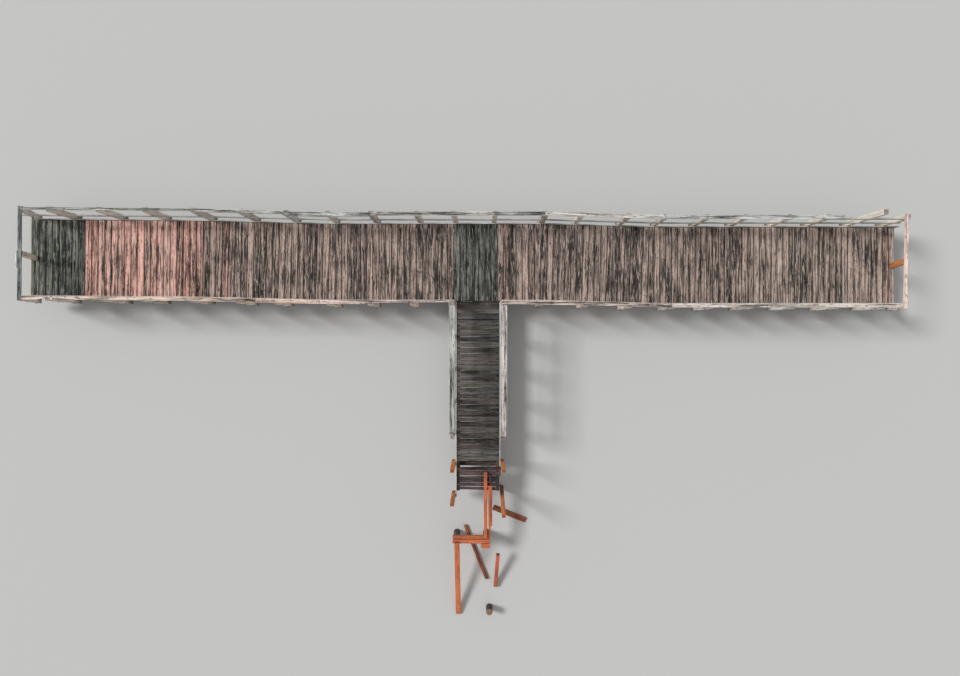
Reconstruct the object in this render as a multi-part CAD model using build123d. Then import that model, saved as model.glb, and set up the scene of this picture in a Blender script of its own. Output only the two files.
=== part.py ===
from build123d import *
import math
import os

# A weathered timber jetty: a long head laid across the water, and a narrow walkway that joins it to the
# shore. X runs along the head to the right, Y runs out to the open water, Z is up from the water line.

os.makedirs("parts", exist_ok=True)

# Levels, up from the water line, where the piles end
deck_level = 800
board_thickness = 38
joist_depth = 150
bearer_depth = 150
joist_top = deck_level - board_thickness
bearer_top = joist_top - joist_depth
pile_top = bearer_top - bearer_depth

# Railing heights, up from the deck
post_top = deck_level + 935
tall_post_top = deck_level + 1540
post_foot = deck_level - 300
cap_thickness = 35
mid_rail_top = deck_level + 560
mid_rail_depth = 95
let_in_depth = 95
end_rail_top = deck_level + 250
kerb_top = deck_level + 20
kerb_foot = deck_level - 170

# Sections of the timbers
plank = 28
post_width = 118
post_depth = 115
walkway_post_width = 90
cap_width = 90
end_cap_width = 84
let_in_thickness = 35
joist_width = 75
bearer_width = 120
pile_radius = 80
pile_inset = 85
bearer_inset = 12

# Gaps between timbers laid side by side and end to end
board_gap = 7
butt_gap = 3
mitre_reach = 30

# The head, in stations along its bent centre line from the left end of the deck
head_half_width = 895
first_post = 320
back_bays = [610, 1090, 1030, 1060, 1030, 960, 940, 960, 1010, 820, 900,
             1090, 780, 1030, 820, 940, 850, 950, 850, 920, 840]
end_overhang = 240
head_length = first_post + sum(back_bays) + end_overhang
bend_posts = [4, 7, 12, 15]
leg_headings = [-0.47, -1.35, 0.0, -1.63, 0.0]
board_pitches = [150, 147, 143, 138, 136]
bent_count = 11
tall_post_number = 20

# The front posts left of the walkway stand across from the back ones, but for these shifts
front_left_shifts = {2: 130, 6: -140, 7: 70, 9: -80}
first_front_right = 11750
front_right_bays = [990, 970, 910, 840, 880, 910, 970, 990]

# Posts of the ends that lean inwards, in stations at deck level and at their tops
left_lean_foot = 60
right_lean_foot = head_length - 60
right_cap_inset = 53
right_cap_lean = 30
right_cap_back = head_length - end_overhang - right_cap_inset
right_cap_front = right_cap_back - right_cap_lean

# Planks of the back cap: the post at each one's end, and the shifts of its inner and outer edge
back_cap_planks = [(4, 30, 0), (6, 10, 0), (8, -31, -16), (11, 0, 0), (12, 0, 0), (15, 0, 0), (19, 0, 0)]
back_cap_last_post = back_cap_planks[-1][0]
back_cap_overhang = 350
back_kerb_overhang = 110

# Planks of the front caps: the stations of their joints, and the broken one's width along its length
front_left_joints = [1640, 5510, 5930, 6910, 7887]
broken_widths = [(365, 90), (675, 90), (850, 60), (894, 42), (1003, 42), (1003, 90), (1043, 90), (1054, 42),
                 (1623, 90)]
worn_plank_end = 9675
worn_plank_widths = (65, 50)
front_right_joints = [12700, 14605]
cap_chamfer = 40

# The walkway, in distances from the head's front kerb towards the shore
walkway_station = 10357
walkway_half_width = 495
walkway_post_pitch = 740
walkway_board_pitch = 132
walkway_deck_length = 3730
walkway_joist_length = 4390
walkway_bent_pitch = 1124
first_walkway_bent = 400
left_kerb_length = 4530
right_kerb_length = walkway_deck_length + 70
left_cap_length = 2990
right_cap_length = 3080
left_cap_width = 135
right_cap_width = 150
left_post_count = left_kerb_length // walkway_post_pitch
right_post_count = right_kerb_length // walkway_post_pitch

# Stations of the posts, and of the bends, which all lie at posts
back_posts = [first_post]
for bay in back_bays:
    back_posts.append(back_posts[-1] + bay)
leg_starts = [0] + [back_posts[number] for number in bend_posts]
leg_ends = leg_starts[1:] + [head_length]

# Offsets from the head's centre line, to the back; the front takes the same with a minus sign
kerb_outer = head_half_width + plank
post_outer = kerb_outer + post_depth
cap_inner = kerb_outer
cap_outer = kerb_outer + cap_width
walkway_kerb_outer = walkway_half_width + plank
walkway_post_outer = walkway_kerb_outer + walkway_post_width
walkway_post_centre = walkway_kerb_outer + walkway_post_width / 2
half_post = post_width / 2
half_end_cap = end_cap_width / 2
front_kerb_line = -kerb_outer


def leg_direction(leg):
    """The unit vector along one straight leg of the head."""
    return Vector(1, 0).rotate(Axis.Z, leg_headings[leg])


# Where each leg starts in plan, moved so that the walkway leaves the head at X = 0
leg_corners = [Vector(0, 0)]
for leg, (start, end) in enumerate(zip(leg_starts, leg_ends)):
    leg_corners.append(leg_corners[-1] + leg_direction(leg) * (end - start))
walkway_leg = max(leg for leg, start in enumerate(leg_starts) if start <= walkway_station)
walkway_run = walkway_station - leg_starts[walkway_leg]
walkway_root = leg_corners[walkway_leg] + leg_direction(walkway_leg) * walkway_run
leg_corners = [corner - walkway_root for corner in leg_corners]


def head_point(station, offset):
    """A point in plan, from its station and its offset. Near a bend it follows the mitre line."""
    leg = max((number for number, start in enumerate(leg_starts) if start <= station), default=0)
    direction = leg_direction(leg)
    normal = direction.rotate(Axis.Z, 90)
    along = station - leg_starts[leg]
    lean = 0
    if leg > 0 and along < mitre_reach:
        lean = math.tan(math.radians(leg_headings[leg] - leg_headings[leg - 1]) / 2)
    elif leg + 1 < len(leg_starts) and leg_ends[leg] - station < mitre_reach:
        lean = -math.tan(math.radians(leg_headings[leg + 1] - leg_headings[leg]) / 2)
    return leg_corners[leg] + direction * (along + offset * lean) + normal * offset


def sheet(corners, bottom, top):
    """A level timber of the head whose outline is given by the stations and offsets of its corners."""
    outline = [head_point(station, offset) for station, offset in corners]
    face = Pos(0, 0, bottom) * make_face(Polyline(*outline, close=True))
    return extrude(face, amount=top - bottom, dir=(0, 0, 1))


def strip(station_a, station_b, offset_a, offset_b, bottom, top):
    """A level timber of the head between two stations and two offsets, bent where the head bends."""
    passed = [start for start in leg_starts[1:] if station_a < start < station_b]
    stops = [station_a] + passed + [station_b]
    corners = [(stop, offset_a) for stop in stops] + [(stop, offset_b) for stop in reversed(stops)]
    return sheet(corners, bottom, top)


def leaning_post(deck_station, top_station, offset_a, offset_b, bottom):
    """A post that leans along the head and is cut level; deck_station is where it passes the deck's top."""
    slope = (top_station - deck_station) / (post_top - deck_level)
    foot_station = deck_station - slope * (deck_level - bottom)
    corners = [(foot_station - half_post, offset_a), (foot_station + half_post, offset_a),
               (foot_station + half_post, offset_b), (foot_station - half_post, offset_b)]
    outline = [head_point(station, offset) for station, offset in corners]
    face = Pos(0, 0, bottom) * make_face(Polyline(*outline, close=True))
    rise = Vector(0, 0, post_top - bottom)
    lean = head_point(top_station, offset_a) - head_point(foot_station, offset_a) + rise
    return extrude(face, amount=lean.length, dir=lean)


def end_to_end(cuts, offset_a, offset_b, bottom, top):
    """Timbers laid in line along the head, cut at the given stations with a small gap at each joint."""
    timbers = []
    for start, end in zip(cuts, cuts[1:]):
        station_a = start if start == cuts[0] else start + butt_gap / 2
        station_b = end if end == cuts[-1] else end - butt_gap / 2
        timbers.append(strip(station_a, station_b, offset_a, offset_b, bottom, top))
    return timbers


def block(x_a, x_b, y_a, y_b, bottom, top):
    """A square-cut timber along the axes."""
    centre = Pos((x_a + x_b) / 2, (y_a + y_b) / 2, (bottom + top) / 2)
    return centre * Box(abs(x_b - x_a), abs(y_b - y_a), top - bottom)


def beam(start, end, width, depth):
    """A straight timber whose underside runs from start to end, at any slope."""
    run = Vector(*end) - Vector(*start)
    across = Vector(0, 0, 1).cross(run)
    section = Plane(origin=start, x_dir=across, z_dir=run)
    face = section * Rectangle(width, depth, align=(Align.CENTER, Align.MIN))
    return extrude(face, amount=run.length)


def pile(x, y, top):
    """A round pile from the water line up."""
    return Pos(x, y, 0) * Cylinder(pile_radius, top, align=(Align.CENTER, Align.CENTER, Align.MIN))


def cuts_between(start, end):
    """The ends of a run of timbers, with a joint at each bend that lies between them."""
    return [start] + [bend for bend in leg_starts[1:] if start < bend < end] + [end]


def walkway_y(along):
    """The place in Y of a distance along the walkway from the head's front kerb."""
    return front_kerb_line - along


nodes = {}

# Deck boards of the head, laid across it, leg by leg
deck_names = ["head_deck_left", "head_deck_left", "head_deck_middle", "head_deck_right",
              "head_deck_far_right"]
for name, start, end, wanted_pitch in zip(deck_names, leg_starts, leg_ends, board_pitches):
    count = round((end - start) / wanted_pitch)
    pitch = (end - start) / count
    nodes.setdefault(name, []).extend(
        strip(start + pitch * number + board_gap / 2, start + pitch * (number + 1) - board_gap / 2,
              -head_half_width, head_half_width, joist_top, deck_level)
        for number in range(count)
    )

# Joists along the head, bearers across it, and the piles under them
joist_inner = head_half_width - joist_width
joist_cuts = cuts_between(0, head_length)
nodes["head_joists"] = (
    end_to_end(joist_cuts, joist_inner, head_half_width, bearer_top, joist_top)
    + end_to_end(joist_cuts, -joist_width / 2, joist_width / 2, bearer_top, joist_top)
    + end_to_end(joist_cuts, -head_half_width, -joist_inner, bearer_top, joist_top)
)
bent_pitch = (head_length - 2 * first_post) / (bent_count - 1)
bents = [first_post + bent_pitch * number for number in range(bent_count)]
bearer_end = head_half_width - bearer_inset
nodes["head_bearers"] = [
    strip(bent - bearer_width / 2, bent + bearer_width / 2, -bearer_end, bearer_end, pile_top, bearer_top)
    for bent in bents
]
pile_offset = head_half_width - pile_inset
nodes["head_piles"] = []
for bent in bents:
    for offset in (-pile_offset, pile_offset):
        foot = head_point(bent, offset)
        nodes["head_piles"].append(pile(foot.X, foot.Y, pile_top))

# Kerbs on edge along both sides of the head, with a flush sill where the walkway leaves it
left_side = walkway_station - walkway_kerb_outer
right_side = walkway_station + walkway_kerb_outer
nodes["back_kerb"] = end_to_end(
    cuts_between(0, head_length + back_kerb_overhang), head_half_width, kerb_outer, kerb_foot, kerb_top)
nodes["front_left_kerb"] = end_to_end(
    cuts_between(0, left_side), -kerb_outer, -head_half_width, kerb_foot, kerb_top)
nodes["front_right_kerb"] = end_to_end(
    cuts_between(right_side, head_length), -kerb_outer, -head_half_width, kerb_foot, kerb_top)
nodes["walkway_sill"] = [
    strip(left_side + butt_gap, right_side - butt_gap, -kerb_outer, -head_half_width, kerb_foot, deck_level)
]


def head_post(station, side, top):
    """A post bolted to the outside of a kerb; side is 1 at the back and -1 at the front."""
    offsets = sorted((side * kerb_outer, side * post_outer))
    return strip(station - post_width / 2, station + post_width / 2, *offsets, post_foot, top)


# Rail let into the last posts at the back, where the cap is gone
let_in_start = back_posts[back_cap_last_post] - post_width / 2
head_end = back_posts[-1] + post_width / 2
let_in_rail = strip(let_in_start, head_end, kerb_outer, kerb_outer + let_in_thickness,
                    post_top - let_in_depth, post_top)
nodes["back_let_in_rail"] = [let_in_rail]

# Posts of the head
plain_posts = [number for number in range(len(back_posts)) if number != tall_post_number]
nodes["back_posts"] = []
for number in plain_posts:
    post = head_post(back_posts[number], 1, post_top)
    if number >= back_cap_last_post:
        post = post - let_in_rail
    nodes["back_posts"].append(post)
nodes["tall_post"] = [head_post(back_posts[tall_post_number], 1, tall_post_top) - let_in_rail]

left_junction = walkway_station - walkway_kerb_outer - half_post
right_junction = walkway_station + walkway_kerb_outer + half_post
left_end = back_posts[0]
nodes["back_posts"][0] = leaning_post(left_lean_foot, left_end, kerb_outer, post_outer, post_foot)
front_left_posts = [station + front_left_shifts.get(number, 0) for number, station in enumerate(back_posts)
                    if left_end < station < left_junction - post_width * 2]
front_left_posts.append(left_junction)
nodes["front_left_posts"] = [leaning_post(left_lean_foot, left_end, -post_outer, -kerb_outer, post_foot)]
nodes["front_left_posts"] += [head_post(station, -1, post_top) for station in front_left_posts]
front_right_posts = [right_junction, first_front_right]
for bay in front_right_bays:
    front_right_posts.append(front_right_posts[-1] + bay)
nodes["front_right_posts"] = [head_post(station, -1, post_top) for station in front_right_posts]
nodes["front_right_posts"].append(
    leaning_post(right_lean_foot, right_cap_front, -post_outer, -kerb_outer, post_foot))

# Mid rails on the inner faces of the posts, above the kerbs
mid_rail_foot = mid_rail_top - mid_rail_depth
nodes["back_mid_rail"] = end_to_end(
    cuts_between(0, head_end), head_half_width, kerb_outer, mid_rail_foot, mid_rail_top)
nodes["front_left_mid_rail"] = end_to_end(
    cuts_between(0, left_side), -kerb_outer, -head_half_width, mid_rail_foot, mid_rail_top)
nodes["front_right_mid_rail"] = end_to_end(
    cuts_between(right_side, head_end), -kerb_outer, -head_half_width, mid_rail_foot, mid_rail_top)

# End railings: a leaning post on the deck in the middle, a plank on top, and a low rail at the left end only
cap_top = post_top + cap_thickness
right_end = (right_cap_back + right_cap_front) / 2
half_depth = post_depth / 2
nodes["left_end_post"] = [leaning_post(left_lean_foot, left_end, -half_depth, half_depth, deck_level)]
nodes["right_end_post"] = [leaning_post(right_lean_foot, right_end, -half_depth, half_depth, deck_level)]
nodes["left_end_cap"] = [
    strip(left_end - half_end_cap, left_end + half_end_cap, -post_outer, post_outer, post_top, cap_top)
]
nodes["right_end_cap"] = [
    sheet([(right_cap_front - half_end_cap, -post_outer), (right_cap_front + half_end_cap, -post_outer),
           (right_cap_back + half_end_cap, post_outer), (right_cap_back - half_end_cap, post_outer)],
          post_top, cap_top)
]
left_slope = (left_end - left_lean_foot) / (post_top - deck_level)
end_rail_foot = end_rail_top - mid_rail_depth
end_rail_station = left_lean_foot + left_slope * ((end_rail_top + end_rail_foot) / 2 - deck_level)
end_rail_sides = (end_rail_station - plank / 2, end_rail_station + plank / 2)
nodes["left_end_mid_rail"] = [
    strip(*end_rail_sides, half_depth, kerb_outer, end_rail_foot, end_rail_top),
    strip(*end_rail_sides, -kerb_outer, -half_depth, end_rail_foot, end_rail_top),
]
splice_back = 60
splice_front = 320
splice_depth = 60
splice_inner = left_end - half_end_cap
nodes["left_end_splice"] = [
    strip(splice_inner - plank, splice_inner, -splice_front, splice_back, post_top, post_top + splice_depth)
]

# Caps of the long sides, flat on the posts
back_cap_ends = [back_posts[last_post] for last_post, _, _ in back_cap_planks]
back_cap_ends[-1] += back_cap_overhang
back_cap_starts = [left_end + half_end_cap] + back_cap_ends[:-1]
nodes["back_cap"] = [
    strip(start, end - butt_gap, cap_inner + inner_shift, cap_outer + outer_shift, post_top, cap_top)
    for start, end, (_, inner_shift, outer_shift) in zip(back_cap_starts, back_cap_ends, back_cap_planks)
]
broken_plank = [(front_left_joints[0] - butt_gap, -cap_inner)]
broken_plank += [(station, -cap_inner - width) for station, width in reversed(broken_widths)]
broken_plank.append((broken_widths[0][0], -cap_inner))
worn_start = front_left_joints[-1] + butt_gap
worn_plank = [(worn_start, -cap_inner), (worn_start, -cap_inner - worn_plank_widths[0]),
              (worn_plank_end, -cap_inner - worn_plank_widths[1]), (worn_plank_end, -cap_inner)]
nodes["front_left_cap"] = [sheet(broken_plank, post_top, cap_top)]
nodes["front_left_cap"] += end_to_end(front_left_joints, -cap_outer, -cap_inner, post_top, cap_top)
nodes["front_left_cap"].append(sheet(worn_plank, post_top, cap_top))
front_right_start = walkway_station + walkway_post_centre - right_cap_width / 2
front_right_end = right_cap_front - half_end_cap - butt_gap
chamfered_end = front_right_joints[0] - butt_gap
chamfered_plank = [(front_right_start, -cap_outer), (chamfered_end, -cap_outer), (chamfered_end, -cap_inner),
                   (front_right_start + cap_chamfer, -cap_inner),
                   (front_right_start, -cap_inner - cap_chamfer)]
nodes["front_right_cap"] = [sheet(chamfered_plank, post_top, cap_top)]
nodes["front_right_cap"] += end_to_end(
    front_right_joints + [front_right_end], -cap_outer, -cap_inner, post_top, cap_top)

# Walkway deck, joists, bearers and piles
board_count = round(walkway_deck_length / walkway_board_pitch)
nodes["walkway_deck"] = []
for number in range(board_count):
    near = walkway_board_pitch * number + board_gap
    far = walkway_board_pitch * (number + 1)
    nodes["walkway_deck"].append(
        block(-walkway_half_width, walkway_half_width, walkway_y(near), walkway_y(far),
              joist_top, deck_level))

nodes["walkway_joists"] = []
for side in (-1, 1):
    inner = side * (walkway_half_width - joist_width)
    outer = side * walkway_half_width
    nodes["walkway_joists"].append(
        block(inner, outer, walkway_y(0), walkway_y(walkway_joist_length), bearer_top, joist_top))

walkway_bearer_end = walkway_half_width - bearer_inset
walkway_bents = range(first_walkway_bent, walkway_joist_length, walkway_bent_pitch)
nodes["walkway_bearers"] = []
nodes["walkway_piles"] = []
for bent in walkway_bents:
    nodes["walkway_bearers"].append(
        block(-walkway_bearer_end, walkway_bearer_end, walkway_y(bent - bearer_width / 2),
              walkway_y(bent + bearer_width / 2), pile_top, bearer_top))
    for side in (-1, 1):
        x = side * (walkway_half_width - pile_inset)
        nodes["walkway_piles"].append(pile(x, walkway_y(bent), pile_top))

# Walkway kerbs, posts, mid rails and wide caps; both caps are broken off before the end
nodes["walkway_kerbs"] = [
    block(-walkway_kerb_outer, -walkway_half_width, walkway_y(0), walkway_y(left_kerb_length),
          kerb_foot, kerb_top),
    block(walkway_half_width, walkway_kerb_outer, walkway_y(0), walkway_y(right_kerb_length),
          kerb_foot, kerb_top),
]


def walkway_posts(side, count):
    """Posts bolted to the outside of one kerb of the walkway, from the junction towards the shore."""
    posts = []
    for number in range(1, count + 1):
        near = walkway_post_pitch * number
        posts.append(block(side * walkway_kerb_outer, side * walkway_post_outer, walkway_y(near),
                           walkway_y(near + walkway_post_width), post_foot, post_top))
    return posts


nodes["walkway_left_posts"] = walkway_posts(-1, left_post_count)
nodes["walkway_right_posts"] = walkway_posts(1, right_post_count)
nodes["walkway_mid_rails"] = [
    block(-walkway_kerb_outer, -walkway_half_width, walkway_y(0), walkway_y(left_cap_length),
          mid_rail_foot, mid_rail_top),
    block(walkway_half_width, walkway_kerb_outer, walkway_y(0), walkway_y(right_cap_length),
          mid_rail_foot, mid_rail_top),
]
walkway_cap_start = max(cap_outer, post_outer) - kerb_outer
nodes["walkway_left_cap"] = [
    block(-walkway_post_centre - left_cap_width / 2, -walkway_post_centre + left_cap_width / 2,
          walkway_y(walkway_cap_start), walkway_y(left_cap_length), post_top, cap_top)
]
nodes["walkway_right_cap"] = [
    block(walkway_post_centre - right_cap_width / 2, walkway_post_centre + right_cap_width / 2,
          walkway_y(walkway_cap_start), walkway_y(right_cap_length), post_top, cap_top)
]

# The ruined shore end. Loose boards lie askew on the last stretch of joists; each has its near edge past
# the end of the deck, its width, its left and right end and its turn
loose_boards = [(103, 82, -490, 551, 0.3), (195, 110, -466, 534, -0.2), (320, 140, -450, 499, 0.3),
                (470, 80, -490, 511, -0.2), (570, 64, -440, 472, -1.6)]
nodes["loose_boards"] = []
for near, width, left, right, turn in loose_boards:
    place = Pos((left + right) / 2, walkway_y(walkway_deck_length + near + width / 2),
                deck_level - board_thickness / 2)
    nodes["loose_boards"].append(place * Rot(0, 0, turn) * Box(right - left, width, board_thickness))

# A short batten that lies on them
batten_left = 260
batten_right = 318
batten_near = walkway_deck_length + 260
batten_length = 230
batten_thickness = 25
nodes["loose_boards"].append(
    block(batten_left, batten_right, walkway_y(batten_near), walkway_y(batten_near + batten_length),
          deck_level, deck_level + batten_thickness))

# A crossbeam of two timbers and a short block on its own pair of piles, level with the deck
crossbeam_near = 5444
crossbeam_left = -600
crossbeam_right = 285
crossbeam_depth = 130
near_timber = 65
far_timber = 95
short_block = 98
short_block_left = 65
crossbeam_gap = 12
crossbeam_foot = deck_level - crossbeam_depth
far_start = crossbeam_near + near_timber + crossbeam_gap
crossbeam_far = far_start + far_timber
block_start = crossbeam_far + crossbeam_gap
nodes["shore_crossbeam"] = [
    block(left, crossbeam_right, walkway_y(start), walkway_y(start + width), crossbeam_foot, deck_level)
    for left, start, width in ((crossbeam_left, crossbeam_near, near_timber),
                               (crossbeam_left, far_start, far_timber),
                               (short_block_left, block_start, short_block))
]
shore_pile_y = walkway_y((crossbeam_near + block_start + short_block / 2) / 2)
nodes["shore_piles"] = [
    pile(crossbeam_left + pile_inset, shore_pile_y, crossbeam_foot),
    pile(crossbeam_right - pile_inset, shore_pile_y, crossbeam_foot),
]

# Two long timbers that lie from the loose boards to the crossbeam, the right one worn thin at its far end
long_timber_depth = 70
long_timber_bearing = 35
long_timber_end = crossbeam_near + long_timber_bearing
left_timber = (134, 215)
left_timber_near = walkway_deck_length + 198
right_timber = (238, 331)
right_timber_near = walkway_deck_length + 516
worn_stretch = (250, 296)
worn_near = 5181
worn_taper = 20
right_outline = [(right_timber[0], right_timber_near), (right_timber[1], right_timber_near),
                 (right_timber[1], worn_near), (worn_stretch[1], worn_near + worn_taper),
                 (worn_stretch[1], long_timber_end), (worn_stretch[0], long_timber_end),
                 (worn_stretch[0], worn_near + worn_taper), (right_timber[0], worn_near)]
right_points = [(x, walkway_y(along)) for x, along in right_outline]
right_face = Pos(0, 0, deck_level) * make_face(Polyline(*right_points, close=True))
nodes["long_timbers"] = [
    block(*left_timber, walkway_y(left_timber_near), walkway_y(long_timber_end), deck_level,
          deck_level + long_timber_depth),
    extrude(right_face, amount=long_timber_depth, dir=(0, 0, 1)),
]

# A third, round one that lies in the shallows under the crossbeam
pole_radius = 43
pole_near = 5372
pole_far = 6698
pole_left = -321
pole_right = 214
pole_start = Vector(pole_left, walkway_y(pole_near), pole_radius)
pole_end = Vector(pole_right, walkway_y(pole_far), pole_radius)
pole_axis = Plane(origin=pole_start, z_dir=pole_end - pole_start)
nodes["long_timbers"].append(extrude(pole_axis * Circle(pole_radius), amount=(pole_end - pole_start).length))

# The left joist beyond the crossbeam, fallen so that it slopes from the crossbeam down to the water line
seat_clearance = 0.3
fallen_overlap = 68
fallen_width = 125
fallen_depth = 60
fallen_foot_x = -480
fallen_seat_x = -490
fallen_far = 7530
fallen_foot = Vector(fallen_foot_x, walkway_y(fallen_far), 0)
fallen_seat = Vector(fallen_seat_x, walkway_y(crossbeam_far), deck_level + seat_clearance)
fallen_top = fallen_seat + (fallen_seat - fallen_foot).normalized() * fallen_overlap
nodes["fallen_joist"] = [beam(fallen_foot, fallen_top, fallen_width, fallen_depth)]

# A post that leans at the right of the loose boards, and a plank that lies in the shallows
lean_near = 4500
lean_far = 4780
lean_foot = Vector(walkway_post_centre, walkway_y(lean_near), 0)
lean_top = Vector(walkway_post_centre, walkway_y(lean_far), post_top)
nodes["leaning_post"] = [beam(lean_foot, lean_top, walkway_post_width, walkway_post_width)]
plank_left = 360
plank_right = 1165
plank_near = 4950
plank_far = 5270
plank_start = (plank_left, walkway_y(plank_near), 0)
plank_end = (plank_right, walkway_y(plank_far), 0)
plank_width = 130
plank_depth = 40
nodes["fallen_plank"] = [beam(plank_start, plank_end, plank_width, plank_depth)]

# Stubs near the shore
stub_x = 270
stub_along = 7380
stub_top = 360
nodes["pile_stub"] = [pile(stub_x, walkway_y(stub_along), stub_top)]
stake_foot_x = 422
stake_top_x = 472
stake_near = 5930
stake_far = 6850
stake_rise = 450
stake_width = 90
stake_foot = (stake_foot_x, walkway_y(stake_far), 0)
stake_top = (stake_top_x, walkway_y(stake_near), stake_rise)
nodes["leaning_stake"] = [beam(stake_foot, stake_top, stake_width, stake_width)]

# Everything is moved together, so that the origin is under the middle of the whole jetty
everything = Compound([solid for pieces in nodes.values() for piece in pieces for solid in piece.solids()])
box = everything.bounding_box()
to_origin = Pos(-(box.min.X + box.max.X) / 2, -(box.min.Y + box.max.Y) / 2, -box.min.Z)
for name, pieces in nodes.items():
    solids = [to_origin * solid for piece in pieces for solid in piece.solids()]
    export_step(Compound(solids), f"parts/{name}.step")
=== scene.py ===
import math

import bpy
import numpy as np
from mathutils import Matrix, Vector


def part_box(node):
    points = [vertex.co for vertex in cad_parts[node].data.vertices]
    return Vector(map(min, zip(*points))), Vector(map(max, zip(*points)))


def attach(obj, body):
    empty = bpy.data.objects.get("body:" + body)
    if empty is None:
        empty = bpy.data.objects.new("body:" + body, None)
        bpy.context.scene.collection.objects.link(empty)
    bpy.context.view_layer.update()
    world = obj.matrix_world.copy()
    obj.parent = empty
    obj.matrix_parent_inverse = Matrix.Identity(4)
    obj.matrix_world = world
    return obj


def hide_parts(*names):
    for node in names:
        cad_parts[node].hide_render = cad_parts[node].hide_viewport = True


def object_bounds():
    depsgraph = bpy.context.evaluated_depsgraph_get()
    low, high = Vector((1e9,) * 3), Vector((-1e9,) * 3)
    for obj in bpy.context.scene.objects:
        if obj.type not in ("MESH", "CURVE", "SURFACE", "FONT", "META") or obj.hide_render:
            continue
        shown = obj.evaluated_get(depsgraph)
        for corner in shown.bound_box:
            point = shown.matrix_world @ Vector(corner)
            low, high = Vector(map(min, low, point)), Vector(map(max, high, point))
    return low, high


bl_info = {
    "name": "Weathered Timber Jetty",
    "version": (1, 0, 0),
    "blender": (4, 5, 0),
    "location": "3D View > Sidebar > Jetty",
    "description": "Builds the weathered timbers, the fixings and the stage of a wooden jetty",
    "category": "Add Mesh",
}

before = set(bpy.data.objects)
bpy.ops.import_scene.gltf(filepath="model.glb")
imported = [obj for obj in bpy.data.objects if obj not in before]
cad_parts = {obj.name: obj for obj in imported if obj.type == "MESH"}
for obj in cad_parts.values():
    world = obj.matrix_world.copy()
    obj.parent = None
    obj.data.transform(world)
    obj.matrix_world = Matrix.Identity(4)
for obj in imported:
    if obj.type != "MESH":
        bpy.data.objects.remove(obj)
cad_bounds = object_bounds()

# What a finish reads at each corner: tone, share of pink (painted warm sunlight), end grain and edge; tint
# and damp; the grain's map
TIMBER_ATTRIBUTE = "timber"
TINT_ATTRIBUTE = "tint"
GRAIN_UV = "grain"

# How the finishes' names begin, which keeps them apart from the frame's own
WORN = "worn_"

# Which nodes share a finish
HEAD_DECKS = ["head_deck_left", "head_deck_middle", "head_deck_right", "head_deck_far_right"]
RAILS = ["back_mid_rail", "front_left_mid_rail", "front_right_mid_rail", "left_end_mid_rail",
         "walkway_mid_rails", "back_let_in_rail"]
KERBS = ["back_kerb", "front_left_kerb", "front_right_kerb", "walkway_kerbs"]
UNDER_TIMBERS = ["head_joists", "head_bearers", "walkway_joists", "walkway_bearers"]
PILES = ["head_piles", "walkway_piles", "shore_piles", "pile_stub"]

# The ruined timbers, each with the tones of its darkest and its palest one
SHORE_TONES = {"shore_crossbeam": (0.65, 1.0), "long_timbers": (0.35, 0.75), "fallen_joist": (0.9, 1.2),
               "fallen_plank": (0.3, 0.5), "leaning_stake": (0.5, 0.8)}

# Posts that are bolted to a kerb, each with the way its bolts face
BOLTED_POSTS = {"back_posts": (0, 1), "tall_post": (0, 1), "front_left_posts": (0, -1),
                "front_right_posts": (0, -1), "walkway_left_posts": (-1, 0), "walkway_right_posts": (1, 0)}

# Stretches of the head's deck, each with the X where it ends, its tint, its tone and its share of pink ones.
# The first stretch's dark grey-green tint is painted shade over the deck's left end. The pink boards, and
# the brighter tone of the stretch that ends at X -6.6, are painted warm sunlight. The stretch that ends at
# X 0.9 is darker and greener.
DECK_STRETCHES = [(-8.75, (0.58, 0.75, 0.74), 0.02, 0.0), (-6.6, (1.0, 1.0, 1.0), 0.2, 0.97),
                  (-5.4, (1.1, 1.0, 0.98), 0.08, 0.5), (-0.1, (1.08, 1.02, 1.0), 0.02, 0.07),
                  (0.9, (0.53, 0.66, 0.66), -0.08, 0.0), (6.8, (1.04, 1.0, 0.98), 0.0, 0.05),
                  (99.0, (1.06, 1.04, 1.02), 0.1, 0.1)]

# How much boards vary in where their stretch ends, in tone and in brightness, and how pink, with painted
# warm sunlight, a lone one is
BOARD_DRIFT = 0.15
BOARD_TONE = 0.26
BOARD_LIGHT = 0.1
LONE_PINK = 0.35

# The caps, each with its tint and the tones of its darkest and its palest plank
CAP_LOOKS = {
    "front_left_cap": ((1.18, 0.97, 0.9), 0.4, 0.9),
    "front_right_cap": ((1.05, 0.97, 0.9), 0.3, 0.75),
    "back_cap": ((0.96, 1.0, 0.98), 0.15, 0.75),
    "left_end_cap": ((0.55, 0.62, 0.63), 0.1, 0.3),
    "right_end_cap": ((1.2, 1.0, 0.96), 0.65, 0.8),
    "left_end_splice": ((1.25, 1.25, 1.3), 1.0, 1.2),
}

# Tints of the walkway's two broken caps and of the posts, and how far past those caps the posts turn
# orange with painted low sunlight
BROKEN_CAP_TINTS = {"walkway_left_cap": (0.8, 0.81, 0.85), "walkway_right_cap": (1.03, 0.99, 1.0)}
GREY_TINT = (1.02, 0.98, 0.95)
PAINTED_SUN_TINT = (0.88, 0.37, 0.14)
PAINTED_SUN_FROM = 0.1

# Outlines: points across the wide and the narrow faces and round a corner, and on which faces checks run
BOARD_OUTLINE = {"wide": 5, "deep": 1}
POST_OUTLINE = {"wide": 3, "deep": 3, "check_sides": (0, 1, 2, 3), "check_count": 4}
CORNER_TURNS = (0, math.pi / 4, math.pi / 2)

# How near to its edges a sawn face stays flat, as a share of its half width, and how edge-like it is there
FLAT_TO = 0.94
INNER_TO = 0.84
NEAR_EDGE = 0.8

# Checks on a face, as shares of its half width: half their own, how far out they lie and how far apart
CHECK_HALF = 0.03
CHECK_REACH = 0.75
CHECK_APART = 0.25

# Lengths of the waves of wear, in metres along a timber and in turns round it
RADIUS_WAVES = (0.5, 1.0)
FACE_WAVES = (0.35, 0.5)
CHECK_WAVES = (0.9, 0.2)
ARRIS_WAVES = (0.12, 0.3)

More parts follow.
